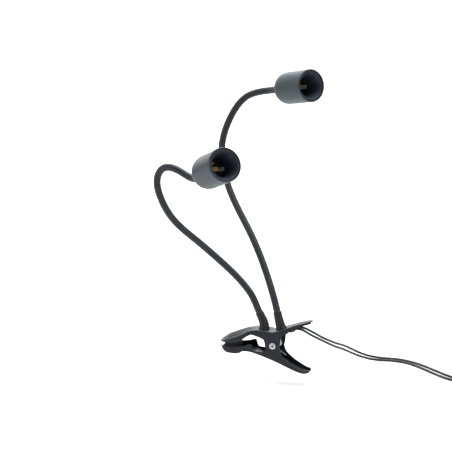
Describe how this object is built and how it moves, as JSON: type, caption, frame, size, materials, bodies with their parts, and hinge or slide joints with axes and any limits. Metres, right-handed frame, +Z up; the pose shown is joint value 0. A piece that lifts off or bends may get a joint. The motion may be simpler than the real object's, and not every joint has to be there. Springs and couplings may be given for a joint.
{
  "type": "clip-on reading lamp",
  "caption": "Clip-on lamp: a sprung steel clip carries flexible arms that end in cup lampholders without bulbs; leads run through an in-line rocker switch to a plug.",
  "frame": {"origin": "middle of the upper pad's grip face", "axes": "+Z up, out of the pad's back; +X from the jaws to the handles; Y along the clip's rivet"},
  "size_m": [0.5051, 0.2784, 0.3947],
  "materials": {
    "clip_paint": "gloss black paint",
    "cup_paint": "satin slate grey paint",
    "hose": "satin black ribbed sleeve",
    "rubber": "matt black rubber",
    "steel": "zinc-plated steel",
    "brass": "plain brass",
    "moulding": "satin black moulding",
    "lead": "smooth black PVC"
  },
  "bodies": {
    "clip_frame": {"upper_lever": "clip_paint", "upper_jaw_pad": "rubber", "pivot_rivet": "steel", "pivot_bush": "steel", "torsion_spring": "steel", "lead_anchor": "moulding", "right_foot_stud": "steel", "right_foot_nut": "steel", "right_boot": "rubber", "right_hose_foot": "hose", "right_inner_wire": "lead", "right_lead": "lead", "left_foot_stud": "steel", "left_foot_nut": "steel", "left_boot": "rubber", "left_hose_foot": "hose", "left_inner_wire": "lead", "left_lead": "lead", "mains_lead": "lead", "mains_tail": "lead", "mains_coil": "lead", "coil_tie": "rubber", "mains_strain_relief": "rubber", "plug_body": "moulding", "plug_pin_1": "brass", "plug_pin_2": "brass", "switch_base": "moulding", "switch_cover": "moulding", "switch_screw_1": "steel", "switch_screw_2": "steel"},
    "clip_lower": {"lower_lever": "clip_paint", "lower_jaw_pad": "rubber"},
    "right_arm_lower": {"right_hose_lower": "hose"},
    "right_arm_upper": {"right_hose_upper": "hose"},
    "right_head": {"right_hose_neck": "hose", "right_neck_stud": "steel", "right_neck_nut": "steel", "right_cup": "cup_paint", "right_lampholder": "moulding", "right_holder_base": "moulding", "right_centre_contact": "brass", "right_side_contact": "steel"},
    "left_arm_lower": {"left_hose_lower": "hose"},
    "left_arm_upper": {"left_hose_upper": "hose"},
    "left_head": {"left_hose_neck": "hose", "left_neck_stud": "steel", "left_neck_nut": "steel", "left_cup": "cup_paint", "left_lampholder": "moulding", "left_holder_base": "moulding", "left_centre_contact": "brass", "left_side_contact": "steel"},
    "rocker_1": {"rocker_1": "moulding"},
    "rocker_2": {"rocker_2": "moulding"}
  },
  "joints": [
    {"name": "clip_hinge", "type": "hinge", "parent": "clip_frame", "child": "clip_lower", "pos_m": [0.057, 0, 0], "axis": [0, -1, 0], "range_deg": [-3, 32], "stiffness_Nm_per_rad": 1, "deforming": ["torsion_spring"]},
    {"name": "right_arm_foot", "type": "hinge", "parent": "clip_frame", "child": "right_arm_lower", "pos_m": [0.05038, 0.00969, 0.06263], "axis": [0, 1, 0], "range_deg": [-15, 15]},
    {"name": "right_arm_middle", "type": "hinge", "parent": "right_arm_lower", "child": "right_arm_upper", "pos_m": [-0.02112, 0.05843, 0.18339], "axis": [1, 0, 0], "range_deg": [-20, 10]},
    {"name": "right_head_tilt", "type": "hinge", "parent": "right_arm_upper", "child": "right_head", "pos_m": [0.02134, 0.08844, 0.31378], "axis": [-0.6203, -0.7844, 0], "range_deg": [-25, 25]},
    {"name": "left_arm_foot", "type": "hinge", "parent": "clip_frame", "child": "left_arm_lower", "pos_m": [0.02378, 0.00547, 0.05944], "axis": [0, 1, 0], "range_deg": [-15, 15]},
    {"name": "left_arm_middle", "type": "hinge", "parent": "left_arm_lower", "child": "left_arm_upper", "pos_m": [-0.05945, -0.02734, 0.14839], "axis": [1, 0, 0], "range_deg": [-10, 20]},
    {"name": "left_head_tilt", "type": "hinge", "parent": "left_arm_upper", "child": "left_head", "pos_m": [-0.0316, -0.06208, 0.21574], "axis": [-0.7131, -0.7011, 0], "range_deg": [-25, 25]},
    {"name": "rocker_1_pin", "type": "hinge", "parent": "clip_frame", "child": "rocker_1", "pos_m": [0.326, 0.0585, -0.0343], "axis": [0, -1, 0], "range_deg": [0, 16]},
    {"name": "rocker_2_pin", "type": "hinge", "parent": "clip_frame", "child": "rocker_2", "pos_m": [0.326, 0.0725, -0.0343], "axis": [0, -1, 0], "range_deg": [0, 16]}
  ]
}
